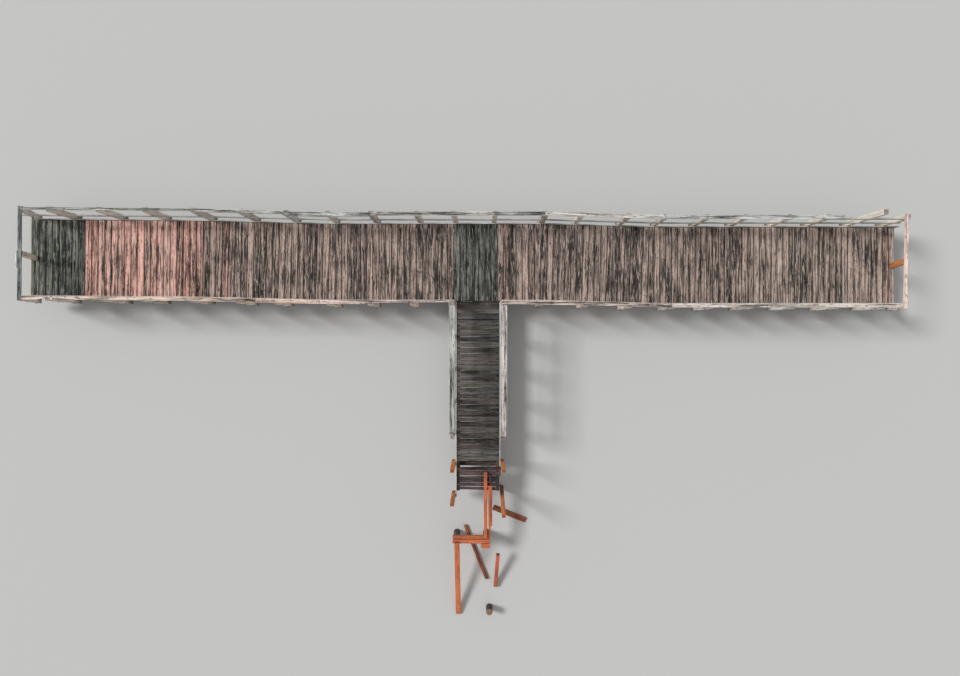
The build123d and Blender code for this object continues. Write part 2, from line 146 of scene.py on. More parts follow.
# Each pattern of the grain: how often a metre it repeats along and across a timber, its detail and roughness
GRAIN = {
    "drift": (0.9, 7.0, 1.0, 0.5),
    "fibre": (6.0, 380.0, 3.0, 0.6),
    "band": (1.4, 36.0, 4.0, 0.65),
    "streak": (0.9, 13.0, 4.0, 0.65),
    "ridge": (1.1, 34.0, 4.0, 0.5),
    "where": (0.8, 9.0, 1.0, 0.5),
    "fleck": (3.5, 32.0, 2.0, 0.7),
    "speck": (7.0, 27.0, 2.0, 0.7),
}

# How far the grain wanders, in metres, and the shift that keeps specks apart from flecks
GRAIN_WANDER = 0.03
SPECK_SHIFT = (31.0, 17.0, 5.0)

# End grain: radians of rings to a metre, and how uneven they are
RING_PITCH = 1050.0
RING_UNEVEN = 9.0

# Colours inside splits and end checks, which are painted shade, of the brightest flecks, and of damp wood
SPLIT_PAINTED_SHADE = (0.012, 0.011, 0.01)
CHECK_PAINTED_SHADE = (0.01, 0.009, 0.008)
BLEACHED = (0.9, 0.86, 0.8)
DAMP_WOOD = (0.028, 0.016, 0.010)

# The colours of rust, and the strength and depth of the relief of timber and of rust
RUST_DARK = (0.035, 0.02, 0.014)
RUST_PALE = (0.16, 0.07, 0.035)
TIMBER_RELIEF = (0.8, 0.0035)
RUST_RELIEF = (0.5, 0.001)

# Bolts: how far under the deck's top two of them are, a washer's height, and their room in the CAD box
BOLT_DROPS = (0.11, 0.04)
WASHER_HEIGHT = 0.003
BOLT_CLEARANCE = 0.00052

# Nails: their places along a board and across it, as shares
HEAD_NAILS = (0.04, 0.5, 0.96)
WALKWAY_NAILS = (0.045, 0.955)
NAILS_ACROSS = (0.28, 0.72)

# How far the floor lies under the feet, and the camera from the middle of the walkway's first board
FLOOR_DROP = 0.002
CAMERA_SHIFT = (0.046, -0.826)


def number_setting(name, description, default, low, high, unit="NONE"):
    """One number that a user may change."""
    return bpy.props.FloatProperty(
        name=name, description=description, default=default, min=low, max=high, unit=unit)


def length_setting(*values):
    """One length that a user may change."""
    return number_setting(*values, unit="LENGTH")


def colour_setting(name, description, default):
    """One colour that a user may change."""
    return bpy.props.FloatVectorProperty(
        name=name, description=description, subtype="COLOR", size=3, min=0.0, max=1.0, default=default)


class JettyTimberSizes(bpy.types.PropertyGroup):
    """Sizes of the weathering on the timbers and of their fixings."""

    edge_round: length_setting("Edge rounding", "How far sawn edges are worn round", 0.005, 0.001, 0.02)
    wear: length_setting("Surface wear", "How deep the faces are worn", 0.0025, 0.0, 0.01)
    check_depth: length_setting("Check depth", "How deep the drying checks run", 0.009, 0.0, 0.03)
    fray: length_setting("Broken end", "How ragged a broken cap end is", 0.16, 0.0, 0.4)
    bolt_head: length_setting("Bolt head", "Radius of a bolt head", 0.014, 0.005, 0.03)
    bolt_height: length_setting("Bolt height", "How far a head stands out of its washer", 0.009, 0.002, 0.03)
    washer: length_setting("Washer", "Radius of a washer", 0.025, 0.01, 0.05)
    nail_head: length_setting("Nail head", "Radius of a nail head", 0.006, 0.002, 0.01)


class JettyColours(bpy.types.PropertyGroup):
    """The main colours, as a user would pick them."""

    cap_pale: colour_setting("Cap, pale", "Bleached face of the caps", (0.78, 0.75, 0.70))
    cap_dark: colour_setting("Cap, dark", "Grain and dirt of the caps", (0.045, 0.042, 0.037))
    deck_pale: colour_setting("Deck, pale", "Bleached face of the head's boards", (0.51, 0.40, 0.345))
    deck_dark: colour_setting("Deck, dark", "Grain and dirt of the head's boards", (0.022, 0.021, 0.019))
    walk_pale: colour_setting("Walkway, pale", "Bleached face of the walkway's boards", (0.17, 0.15, 0.145))
    walk_dark: colour_setting("Walkway, dark", "Grain and dirt of its boards", (0.018, 0.017, 0.016))
    rail_pale: colour_setting("Rail, pale", "Bleached face of rails and kerbs", (0.60, 0.58, 0.54))
    post_pale: colour_setting("Post, pale", "Weathered face of the posts", (0.86, 0.80, 0.72))
    # The shore timbers' orange is painted low sunlight over their brown wood.
    shore_pale_and_sun: colour_setting("Shore timber, pale", "Warm face of the ruined timbers", (0.70, 0.19, 0.08))
    # This pink is painted warm sunlight on the head's boards.
    painted_sun: colour_setting("Renewed board", "Pinker face of boards renewed later", (0.98, 0.53, 0.43))
    lichen: colour_setting("Lichen", "Grey green growth", (0.16, 0.17, 0.13))
    floor: colour_setting("Floor", "Pale floor of the stage", (0.57, 0.57, 0.56))


class JettyStage(bpy.types.PropertyGroup):
    """Camera, sky and lamp."""

    camera_height: length_setting("Camera height", "Height of the camera over the deck", 16.3, 2.0, 60.0)
    lens: number_setting("Lens", "Focal length on a 36 mm sensor", 26.285, 10.0, 100.0)
    sky_level: number_setting("Sky", "Strength of the even light", 0.45, 0.0, 3.0)
    lamp_level: number_setting("Lamp", "Strength of the large soft lamp", 2.2, 0.0, 10.0)


# Reading the frame

def read_solids(node):
    """Each separate solid of a node: its corners, its triangles, and their normals and areas.

    Corners at the same place are merged, and triangles that share corners are one solid: every corner takes
    the lowest label of its triangle until no label changes.
    """
    merge_digits = 5
    least_area = 1e-9
    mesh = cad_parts[node].data
    places = np.empty(len(mesh.vertices) * 3)
    mesh.vertices.foreach_get("co", places)
    corners, merged = np.unique(places.reshape(-1, 3).round(merge_digits), axis=0, return_inverse=True)
    loops = np.empty(len(mesh.loops), int)
    mesh.loops.foreach_get("vertex_index", loops)
    triangles = merged.ravel()[loops].reshape(-1, 3)
    labels = np.arange(len(corners))
    while True:
        lowest = labels[triangles].min(axis=1)
        before = labels.copy()
        np.minimum.at(labels, triangles.ravel(), lowest.repeat(3))
        if (labels == before).all():
            break
    solids = []
    for label in np.unique(labels):
        own = triangles[labels[triangles[:, 0]] == label]
        cross = np.cross(corners[own[:, 1]] - corners[own[:, 0]], corners[own[:, 2]] - corners[own[:, 0]])
        area = np.linalg.norm(cross, axis=1)
        kept = area > least_area
        solids.append((corners, own[kept], cross[kept] / area[kept, None], area[kept]))
    return solids


def turned(vector, towards):
    """The vector or its opposite, whichever points more towards the given direction."""
    return vector if np.dot(vector, towards) >= 0 else -vector


def read_timbers(node):
    """Each solid of a node as a timber with its own axes, its ends, and its edges to cut sections from.

    The first axis is the face normal along which the solid reaches furthest, so that its ends are square to
    it. The second and third are square to that and follow its largest side face; the third points up, or
    for an upright timber out to the water. The timbers come in the order of their middles.
    """
    axis_way = (0.9, 0.5, 1.2)
    side_cosine = 0.3
    upright_cosine = 0.7
    most_sawn_sides = 12
    same_side = 1 / 50
    timbers = []
    for corners, triangles, normals, areas in read_solids(node):
        places = corners[np.unique(triangles)]
        reach = np.ptp(places @ normals.T, axis=0)
        along = turned(normals[np.argmax(reach)], axis_way)
        sideways = np.abs(normals @ along) < side_cosine
        best = normals[np.argmax(np.where(sideways, areas, 0))]
        first = best - along * (best @ along)
        first /= np.linalg.norm(first)
        second = np.cross(along, first)
        wish = (0, 1, 0) if abs(along[2]) > upright_cosine else (0, 0, 1)
        up = turned(first if abs(np.dot(first, wish)) > abs(np.dot(second, wish)) else second, wish)
        axes = np.array([along, np.cross(up, along), up])
        pairs = np.concatenate([triangles[:, [0, 1]], triangles[:, [1, 2]], triangles[:, [2, 0]]])
        pairs = np.unique(np.sort(pairs, axis=1), axis=0)
        own = corners @ axes.T
        span = places @ along
        sides = np.unique((normals[sideways] / same_side).round(), axis=0)
        timbers.append({
            "axes": axes,
            "edges": (own[pairs[:, 0]], own[pairs[:, 1]]),
            "ends": (span.min(), span.max()),
            "breaks": np.unique(span.round(4)),
            "middle": (places.min(axis=0) + places.max(axis=0)) / 2,
            "round": len(sides) > most_sawn_sides,
        })
    return sorted(timbers, key=lambda timber: tuple(timber["middle"].round(3)))


def section(timber, stations):
    """How far a timber reaches at each station: the least and the greatest of the places where its edges
    cross that station, as two arrays with a column for each side."""
    least_rise = 1e-6
    end_room = 3e-5
    a, b = timber["edges"]
    lengthwise = np.abs(b[:, 0] - a[:, 0]) > least_rise
    a, b = a[lengthwise], b[lengthwise]
    inside = np.clip(stations, timber["ends"][0] + end_room, timber["ends"][1] - end_room)
    share = (inside[:, None] - a[:, 0]) / (b[:, 0] - a[:, 0])
    crossed = (share >= 0) & (share <= 1)
    place = a[:, 1:] + share[:, :, None] * (b - a)[:, 1:]
    low = np.where(crossed[:, :, None], place, np.inf).min(axis=1)
    high = np.where(crossed[:, :, None], place, -np.inf).max(axis=1)
    return low, high


# Surfaces

def ripple(rng, shape_a, shape_b, length_a, length_b):
    """Smooth noise from -1 to 1 over two coordinates: the mean of six sine waves with random directions,
    phases and wavelengths about the two given ones."""
    total = 0
    for _ in range(6):
        turn_a = rng.uniform(0.4, 1.6) * 2 * math.pi / length_a
        turn_b = rng.uniform(-1.6, 1.6) * 2 * math.pi / length_b
        total = total + np.sin(shape_a * turn_a + shape_b * turn_b + rng.uniform(0, 2 * math.pi))
    return total / 6


def jagged(rng, across, up):
    """Splintered noise from -1 to 1 across an end: the mean of three triangle waves of rising pitch."""
    total = 0
    for pitch in (1.3, 3.1, 6.7):
        turn = across * pitch + up * 0.4 + rng.uniform(0, 1)
        total = total + 4 * np.abs(turn - np.floor(turn + 0.5)) - 1
    return total / 3


def sawn_outline(wide, deep, checks):
    """The outline of a sawn timber, walked round from its right side over the top.

    Each point has a place on the square core, from -1 to 1, the way it faces, whether it is sunk and how
    edge-like it is. The corners are quarter circles. The middle one of a check's three points is sunk.
    """
    sides = [((1, 0), (0, 1)), ((0, 1), (-1, 0)), ((-1, 0), (0, -1)), ((0, -1), (1, 0))]
    rows = []
    for number, (face, run) in enumerate(np.array(sides)):
        count = deep if number % 2 == 0 else wide
        inner = np.linspace(-INNER_TO, INNER_TO, count) if count > 1 else [0.0]
        places = [(c, 0) for c in (-FLAT_TO, *inner, FLAT_TO)]
        for side, c in checks:
            if side == number:
                places = [p for p in places if abs(p[0] - c) > 3 * CHECK_HALF or abs(p[0]) == FLAT_TO]
                places += [(c - CHECK_HALF, 0), (c, 1), (c + CHECK_HALF, 0)]
        for c, sunk in sorted(places):
            rows.append((*(face + run * c), *face, sunk, NEAR_EDGE * (abs(c) == FLAT_TO)))
        for turn in CORNER_TURNS:
            rows.append((*(face + run), *(face * math.cos(turn) + run * math.sin(turn)), 0, 1))
    return np.array(rows)


def round_outline(checks):
    """The outline of a log: points of a circle that face outwards, with a sunk one at each check."""
    columns = 20
    check_half = 0.05
    rows = [(turn, 0) for turn in np.linspace(0, 2 * math.pi, columns, endpoint=False)]
    for turn in checks:
        rows += [(turn - check_half, 0), (turn, 1), (turn + check_half, 0)]
    rows.sort()
    return np.array([(0, 0, math.cos(t), math.sin(t), sunk, 0) for t, sunk in rows])


def stations_of(timber, step, chamfer):
    """Stations along a timber: even ones, one just inside each end, and a close pair at each break."""
    pair_half = 0.0005
    pair_room = 0.003
    low, high = timber["ends"]
    even = np.linspace(low, high, max(4, int((high - low) / step) + 1))
    even, breaks = (places[(places > low + 2 * chamfer) & (places < high - 2 * chamfer)]
                    for places in (even, timber["breaks"]))
    near_break = np.abs(even[:, None] - breaks).min(axis=1, initial=1.0) < pair_room
    return np.sort(np.concatenate([[low, low + chamfer], even[~near_break], breaks - pair_half,
                                   breaks + pair_half, [high - chamfer, high]]))


def worn_rings(timber, outline, rng, how):
    """The points of a worn timber, ring by ring in its own axes, and its first section's middle and half.

    A point is the middle of the timber's section at its station, plus the outline's core place times the
    half section less the edge radius, plus the way it faces times that radius less the wear there. The end
    rings are drawn in, and may be ragged.
    """
    least_radius = 0.001
    most_radius = 0.8
    most_wear = 0.7
    chamfer = how["edge"] * 0.8
    station = stations_of(timber, how["step"], chamfer)
    low, high = section(timber, station)
    centre, half = (low + high) / 2, (high - low) / 2
    slim = half.min(axis=1, keepdims=True)
    x = (station - station[0])[:, None]
    length = float(x[-1, 0])
    core_y, core_z, face_y, face_z, sunk, edge = outline.T
    around = np.arange(len(outline)) / len(outline)
    drawn_in = np.zeros(len(station))
    drawn_in[[0, -1]] = chamfer
    if timber["round"]:
        radius = slim
    else:
        radius = how["edge"] * (1 + 0.6 * ripple(rng, x, 0.0, *RADIUS_WAVES))
        radius = np.minimum(np.maximum(radius, least_radius), slim * most_radius)
    wear = how["wear"] * (0.5 + 0.5 * ripple(rng, x, around, *FACE_WAVES))
    window = np.clip(1.6 * ripple(rng, x, sunk * around, *CHECK_WAVES) + 0.5, 0, 1)
    wear = wear + sunk * how["check"] * window
    arris = np.clip(ripple(rng, x, around, *ARRIS_WAVES), 0, 1)
    wear = wear + (edge == 1) * how["wear"] * arris * 1.5
    wear = np.minimum(wear + drawn_in[:, None], slim * most_wear)
    y = centre[:, :1] + core_y * (half[:, :1] - radius) + face_y * (radius - wear)
    z = centre[:, 1:] + core_z * (half[:, 1:] - radius) + face_z * (radius - wear)
    start = how["ragged"][0] * (0.5 + 0.5 * jagged(rng, core_y + face_y, core_z))
    end = length - how["ragged"][1] * (0.5 + 0.5 * jagged(rng, core_y + face_y, core_z))
    x = station[0] + start + x / length * (end - start)
    return np.stack([x, y, z], axis=-1), centre[0], half[0]


def tube_faces(rows, columns):
    """The faces of a tube of rings that a middle point closes at each end.

    First the ring of each quad's corners and their place in it, unrolled, so that the seam is one past the
    last place; then the points of all quads and end fans, with the two middles as the last ones, and how
    many each face has.
    """
    row, column = np.meshgrid(np.arange(rows - 1), np.arange(columns), indexing="ij")
    ring = row.reshape(-1, 1) + np.array([0, 0, 1, 1])
    place = column.reshape(-1, 1) + np.array([0, 1, 1, 0])
    quads = ring * columns + place % columns
    own = np.arange(columns)
    following = (own + 1) % columns
    last = (rows - 1) * columns
    near = np.stack([np.full(columns, rows * columns), following, own], axis=-1)
    far = np.stack([np.full(columns, rows * columns + 1), last + own, last + following], axis=-1)
    loops = np.concatenate([quads.ravel(), near.ravel(), far.ravel()])
    return ring, place, loops, np.repeat([4, 3], [len(quads), 2 * columns])


def timber_surface(timber, outline, rng, how):
    """The closed surface of one worn timber, as arrays, with what its finish reads at each corner.

    The grain's map runs along the timber and round it from a random place, and on the ends from the pith.
    """
    grid, centre, half = worn_rings(timber, outline, rng, how)
    rows, columns = grid.shape[:2]
    own = np.concatenate([grid.reshape(-1, 3), [grid[0].mean(axis=0), grid[-1].mean(axis=0)]])
    points = own @ timber["axes"]
    ring, place, loops, sizes = tube_faces(rows, columns)

    turn = grid[rows // 2, :, 1:]
    girth = np.concatenate([[0], np.cumsum(np.linalg.norm(np.diff(turn, axis=0, append=turn[:1]), axis=1))])
    side_uv = np.stack([grid[:, 0, 0][ring], girth[place]], axis=-1).reshape(-1, 2) + rng.uniform(0, 40, 2)
    pith = centre + rng.uniform(-0.6, 0.6, 2) * half
    end_uv = own[loops[ring.size:], 1:] - pith

    tone, pink, tint = how["tint"](timber, rng)
    kind = np.tile([tone, pink, 0.0, 0.0], (len(loops), 1))
    kind[ring.size:, 2] = 1.0
    end_rims = np.isin(ring, (0, rows - 1)) * how["end_rim"]
    kind[:ring.size, 3] = np.maximum(outline[place % columns, 5], end_rims).ravel()
    damp = np.clip((how["damp"][0] - points[loops, 2]) / how["damp"][1], 0, 1)
    tint = np.column_stack([np.tile(tint, (len(loops), 1)), damp])
    return {"points": points, "loops": loops, "sizes": sizes, "uv": np.concatenate([side_uv, end_uv]),
            "kind": kind, "tint": tint}


def stud_surface(place, facing, radius, height, sides):
    """A closed stud on a face: a prism round its facing direction, with a slightly smaller top.

    Each ring point is the middle plus the radius times a unit circle in the plane of the face.
    """
    shoulder = 0.8
    top_share = 0.85
    aside = np.cross(facing, (0, 0, 1)) if abs(facing[2]) < 0.9 else np.array([1.0, 0, 0])
    aside /= np.linalg.norm(aside)
    turn = np.arange(sides)[:, None] * 2 * math.pi / sides
    circle = radius * (np.cos(turn) * aside + np.sin(turn) * np.cross(facing, aside))
    top = place + facing * height
    rings = [place + circle, place + circle + facing * height * shoulder, top + circle * top_share]
    loops, sizes = tube_faces(len(rings), sides)[2:]
    return {"points": np.concatenate([*rings, [place, top]]), "loops": loops, "sizes": sizes,
            "uv": np.zeros((len(loops), 2)), "kind": np.zeros((len(loops), 4)),
            "tint": np.ones((len(loops), 4))}


def joined(parts):
    """Several surfaces as one: their arrays end to end, with the point numbers moved on."""
    whole = {key: np.concatenate([part[key] for part in parts]) for key in parts[0]}
    bases = np.cumsum([0] + [len(part["points"]) for part in parts[:-1]])
    whole["loops"] = whole["loops"] + np.repeat(bases, [len(part["loops"]) for part in parts])
    return whole


def in_scene(name, data):
    """A new object in the scene that shows the given data."""
    shown = bpy.data.objects.new(name, data)
    bpy.context.scene.collection.objects.link(shown)
    return shown


def make_piece(name, parts, material, nodes=()):
    """A mesh object from surfaces, which rides on the jetty and stands for the given nodes, if any."""
    whole = joined(parts)
    mesh = bpy.data.meshes.new(name)
    mesh.vertices.add(len(whole["points"]))
    mesh.vertices.foreach_set("co", whole["points"].ravel())
    mesh.loops.add(len(whole["loops"]))
    mesh.loops.foreach_set("vertex_index", whole["loops"].astype(np.int32))
    mesh.polygons.add(len(whole["sizes"]))
    starts = np.cumsum(whole["sizes"]) - whole["sizes"]
    mesh.polygons.foreach_set("loop_start", starts.astype(np.int32))
    mesh.update(calc_edges=True)
    mesh.uv_layers.new(name=GRAIN_UV).data.foreach_set("uv", whole["uv"].ravel())
    for attribute, key in ((TIMBER_ATTRIBUTE, "kind"), (TINT_ATTRIBUTE, "tint")):
        values = mesh.attributes.new(attribute, "FLOAT_COLOR", "CORNER")
        values.data.foreach_set("color", whole[key].ravel())
    mesh.validate()
    mesh.shade_smooth()
    mesh.set_sharp_from_angle(angle=math.radians(40))
    mesh.materials.append(material)
    piece = in_scene(name, mesh)
    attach(piece, "root")
    if nodes:
        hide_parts(*nodes)


# Materials

def opaque(colour):
    """A colour with full cover."""
    return (*colour, 1.0)


def add(tree, kind, inputs=None, **settings):
    """A node with its settings and inputs: a socket is linked, anything else is a value."""
    node = tree.nodes.new(kind)
    for name, value in settings.items():
        setattr(node, name, value)
    for name, value in (inputs or {}).items():
        socket = node.inputs[name]
        if isinstance(value, bpy.types.NodeSocket):
            tree.links.new(value, socket)
        else:
            socket.default_value = opaque(value) if socket.type == "RGBA" else value
    return node


def calc(tree, operation, a, b=0.0, c=0.0, clamp=False):
    """The result of one sum on numbers."""
    return add(tree, "ShaderNodeMath", {0: a, 1: b, 2: c}, operation=operation, use_clamp=clamp).outputs[0]


def blend(tree, factor, a, b, mode="MIX"):
    """Two colours mixed by a factor."""
    node = add(tree, "ShaderNodeMix", {0: factor, 6: a, 7: b}, data_type="RGBA", blend_type=mode)
    return node.outputs[2]


def noise(tree, vector, scale=1.0, detail=2.0, rough=0.5):
    """Smooth noise from 0 to 1."""
    return add(tree, "ShaderNodeTexNoise", {"Vector": vector, "Scale": scale, "Detail": detail,
               "Roughness": rough}).outputs[0]


def on_vector(tree, operation, vector, other=(0.0, 0.0, 0.0)):
    """The result of one sum on vectors."""
    return add(tree, "ShaderNodeVectorMath", {0: vector, 1: other}, operation=operation).outputs[0]


def grain_noise(tree, vector, name):
    """One pattern of the grain."""
    along, across, detail, rough = GRAIN[name]
    return noise(tree, on_vector(tree, "MULTIPLY", vector, (along, across, 1.0)), 1.0, detail, rough)


def thin_line(tree, value, width):
    """One where a noise crosses its middle, falling to nothing within a width of it."""
    away = calc(tree, "ABSOLUTE", calc(tree, "SUBTRACT", value, 0.5))
    return calc(tree, "SUBTRACT", 1.0, calc(tree, "DIVIDE", away, width), clamp=True)


def above(tree, value, level, slope):
    """How far a value lies above a level, times a slope, kept from 0 to 1."""
    return calc(tree, "MULTIPLY", calc(tree, "SUBTRACT", value, level), slope, clamp=True)


def centred(tree, value, share):
    """How far a value lies from one half, times a share."""
    return calc(tree, "MULTIPLY_ADD", value, share, -share / 2)


def weighted(tree, *terms):
    """The sum of some values, each times its share."""
    total = 0.0
    for value, share in terms:
        total = calc(tree, "MULTIPLY_ADD", value, share, total)
    return total


def new_group(name, inputs):
    """An empty node group and its inputs, each by its value a colour, a number or, for none, a vector."""
    group = bpy.data.node_groups.new(name, "ShaderNodeTree")
    for label, value in inputs.items():
        kind = "Vector" if value is None else "Color" if isinstance(value, tuple) else "Float"
        socket = group.interface.new_socket(label, in_out="INPUT", socket_type="NodeSocket" + kind)
        if value is not None:
            socket.default_value = opaque(value) if kind == "Color" else value
    return group, group.nodes.new("NodeGroupInput").outputs


def put_out(group, values):
    """Give a group its named outputs, which are colours and numbers."""
    for label, value in values.items():
        kind = "NodeSocketColor" if value.type == "RGBA" else "NodeSocketFloat"
        group.interface.new_socket(label, in_out="OUTPUT", socket_type=kind)
    end = group.nodes.new("NodeGroupOutput")
    for label, value in values.items():
        group.links.new(value, end.inputs[label])


def grain_group():
    """Grain along a timber: fine fibres, bands, broad streaks, dark splits, pale flecks and dark specks."""
    group, given = new_group("Jetty Grain", {"Vector": None})
    wander = centred(group, grain_noise(group, given["Vector"], "drift"), GRAIN_WANDER)
    wander = add(group, "ShaderNodeCombineXYZ", {1: wander}).outputs[0]
    moved = on_vector(group, "ADD", given["Vector"], wander)
    ridge = thin_line(group, grain_noise(group, moved, "ridge"), width=0.016)
    where = above(group, grain_noise(group, moved, "where"), level=0.42, slope=6.0)
    aside = on_vector(group, "ADD", moved, SPECK_SHIFT)
    put_out(group, {
        "Fibre": grain_noise(group, moved, "fibre"),
        "Band": grain_noise(group, moved, "band"),
        "Streak": grain_noise(group, moved, "streak"),
        "Split": calc(group, "MULTIPLY", ridge, where),
        "Fleck": above(group, grain_noise(group, moved, "fleck"), level=0.54, slope=9.0),
        "Speck": above(group, grain_noise(group, aside, "speck"), level=0.56, slope=9.0),
    })
    return group


def weather_group():
    """Weather over the whole jetty, in metres: broad stains, patches of lichen, pale spots and fine grit."""
    group, given = new_group("Jetty Weather", {"Vector": None})
    place = given["Vector"]
    patch = noise(group, place, scale=5.5, detail=5.0, rough=0.65)
    spots = noise(group, place, scale=16.0, detail=3.0, rough=0.6)
    put_out(group, {
        "Stain": noise(group, place, scale=1.7, detail=4.0, rough=0.6),
        "Lichen": above(group, patch, level=0.55, slope=7.0),
        "Spots": above(group, spots, level=0.62, slope=9.0),
        "Grit": noise(group, place, scale=90.0, detail=3.0, rough=0.6),
    })
    return group


def rings_group():
    """End grain: growth rings round the pith, and checks that run out from it."""
    group, given = new_group("Jetty End Grain", {"Vector": None})
    x, y, _ = add(group, "ShaderNodeSeparateXYZ", {0: given["Vector"]}).outputs
    reach = add(group, "ShaderNodeVectorMath", {0: given["Vector"]}, operation="LENGTH").outputs["Value"]
    uneven = noise(group, given["Vector"], scale=30.0, detail=2.0)
    phase = weighted(group, (uneven, RING_UNEVEN), (reach, RING_PITCH))
    spoke = add(group, "ShaderNodeCombineXYZ", {0: calc(group, "ARCTAN2", y, x), 1: reach}).outputs[0]
    spoke = on_vector(group, "MULTIPLY", spoke, (2.2, 6.0, 1.0))
    put_out(group, {
        "Rings": calc(group, "MULTIPLY_ADD", calc(group, "SINE", phase), 0.5, 0.5),
        "Check": thin_line(group, noise(group, spoke, detail=3.0, rough=0.6), width=0.02),
    })
    return group


def timber_group(grain, weather, rings):
    """The whole weathered surface of a timber.

    Its body, the share of pale in dark, is made of bands, streaks and fibres with a contrast, and moved by
    the timber's tone, by stains and by a lift. Its pale is mixed with pink, which is painted warm sunlight.
    Growth, spots, flecks, specks, edges and splits lie over it: pale edges are a painted highlight, dark
    edges are dirt, and the near black in splits is painted shade. Ends have rings and checks instead, and
    the checks' near black is painted shade. All of it is tinted, and damp wood is darker and smoother.
    """
    colours = dict.fromkeys(("Pale", "Dark", "Painted sun", "Growth", "End", "Damp"), (0.5, 0.5, 0.5))
    group, given = new_group("Jetty Timber", {
        **colours, "Lichen amount": 0.4, "Spot amount": 0.4, "Fleck amount": 0.3, "Speck amount": 0.4,
        "Painted edge highlight": 0.0, "Edge dirt": 0.0, "Contrast": 2.6, "Lift": 0.0})
    kind = add(group, "ShaderNodeAttribute", attribute_name=TIMBER_ATTRIBUTE).outputs
    tone, pink, end = add(group, "ShaderNodeSeparateColor", {0: kind["Color"]}).outputs
    edge = kind["Alpha"]
    tint = add(group, "ShaderNodeAttribute", attribute_name=TINT_ATTRIBUTE).outputs
    along = add(group, "ShaderNodeUVMap", uv_map=GRAIN_UV).outputs[0]
    place = add(group, "ShaderNodeTexCoord").outputs["Object"]
    grain, weather, rings = (add(group, "ShaderNodeGroup", {0: vector}, node_tree=part).outputs
                             for part, vector in ((grain, along), (weather, place), (rings, along)))
    fibre, band, streak, split, fleck, speck = grain
    stain, lichen, spots, grit = weather
    ring, check = rings

    body = weighted(group, (band, 0.45), (streak, 0.45), (fibre, 0.1))
    body = calc(group, "MULTIPLY_ADD", calc(group, "SUBTRACT", body, 0.5), given["Contrast"], 0.5)
    body = calc(group, "ADD", body, centred(group, tone, 1.0))
    body = calc(group, "ADD", body, centred(group, stain, 1.3))
    body = calc(group, "ADD", body, given["Lift"], clamp=True)
    # Pink is painted warm sunlight, mixed into the pale colour.
    pale = blend(group, pink, given["Pale"], given["Painted sun"])
    face = blend(group, body, given["Dark"], pale)
    for mask, amount, colour in (
            (lichen, given["Lichen amount"], given["Growth"]), (spots, given["Spot amount"], pale),
            (fleck, given["Fleck amount"], blend(group, 0.2, pale, BLEACHED)),
            # The pale edge layer on this line is a painted highlight.
            (speck, given["Speck amount"], given["Dark"]), (edge, given["Painted edge highlight"], pale),
            # The near black in splits is painted shade.
            (edge, given["Edge dirt"], given["Dark"]), (split, 0.8, SPLIT_PAINTED_SHADE)):
        face = blend(group, calc(group, "MULTIPLY", mask, amount), face, colour)
    sawn = blend(group, calc(group, "MULTIPLY", ring, 0.5), given["End"], given["Dark"])
    # The near black in end checks is painted shade.
    sawn = blend(group, calc(group, "MULTIPLY", check, 0.8), sawn, CHECK_PAINTED_SHADE)
    face = blend(group, 1.0, blend(group, end, face, sawn), tint["Color"], mode="MULTIPLY")
    uneven = calc(group, "MULTIPLY_ADD", streak, 0.8, 0.4)
    wet = calc(group, "MULTIPLY", tint["Alpha"], uneven, clamp=True)
    dry_rough = calc(group, "MULTIPLY_ADD", grit, 0.25, 0.68)
    height = weighted(group, (band, 0.5), (fibre, 0.35), (split, -0.9), (grit, 0.12))
    end_height = weighted(group, (ring, 0.25), (check, -1.0))
    put_out(group, {
        "Color": blend(group, wet, face, given["Damp"]),
        "Roughness": calc(group, "MULTIPLY_ADD", wet, -0.3, dry_rough),
        "Height": add(group, "ShaderNodeMix", {0: end, 2: height, 3: end_height}).outputs[0],
    })


def new_material(name):
    """An empty finish: its node tree and its shader."""
    look = bpy.data.materials.new(WORN + name)
    look.use_nodes = True
    return look.node_tree, look.node_tree.nodes["Principled BSDF"]


def connect(tree, shader, colour, roughness, height, relief):
    """Give a shader its colour and roughness, and relief of a strength and a depth from a height."""
    bump = add(tree, "ShaderNodeBump", {"Height": height, "Strength": relief[0], "Distance": relief[1]})
    for name, value in (("Base Color", colour), ("Roughness", roughness), ("Normal", bump.outputs[0])):
        tree.links.new(value, shader.inputs[name])


def timber_material(name, values):
    """A timber finish: the shared surface with this finish's own values."""
    tree, shader = new_material(name)
    shader.inputs["Specular IOR Level"].default_value = 0.25
    surface = add(tree, "ShaderNodeGroup", values, node_tree=bpy.data.node_groups["Jetty Timber"])
    connect(tree, shader, *surface.outputs, TIMBER_RELIEF)


def rust_material():
    """Rusted iron: brown scale with darker pits."""
    tree, shader = new_material("iron")
    shader.inputs["Metallic"].default_value = 0.35
    place = add(tree, "ShaderNodeTexCoord").outputs["Object"]
    scale = noise(tree, place, scale=160.0, detail=4.0, rough=0.65)
    rough = calc(tree, "MULTIPLY_ADD", scale, 0.3, 0.55)
    connect(tree, shader, blend(tree, scale, RUST_DARK, RUST_PALE), rough, scale, RUST_RELIEF)


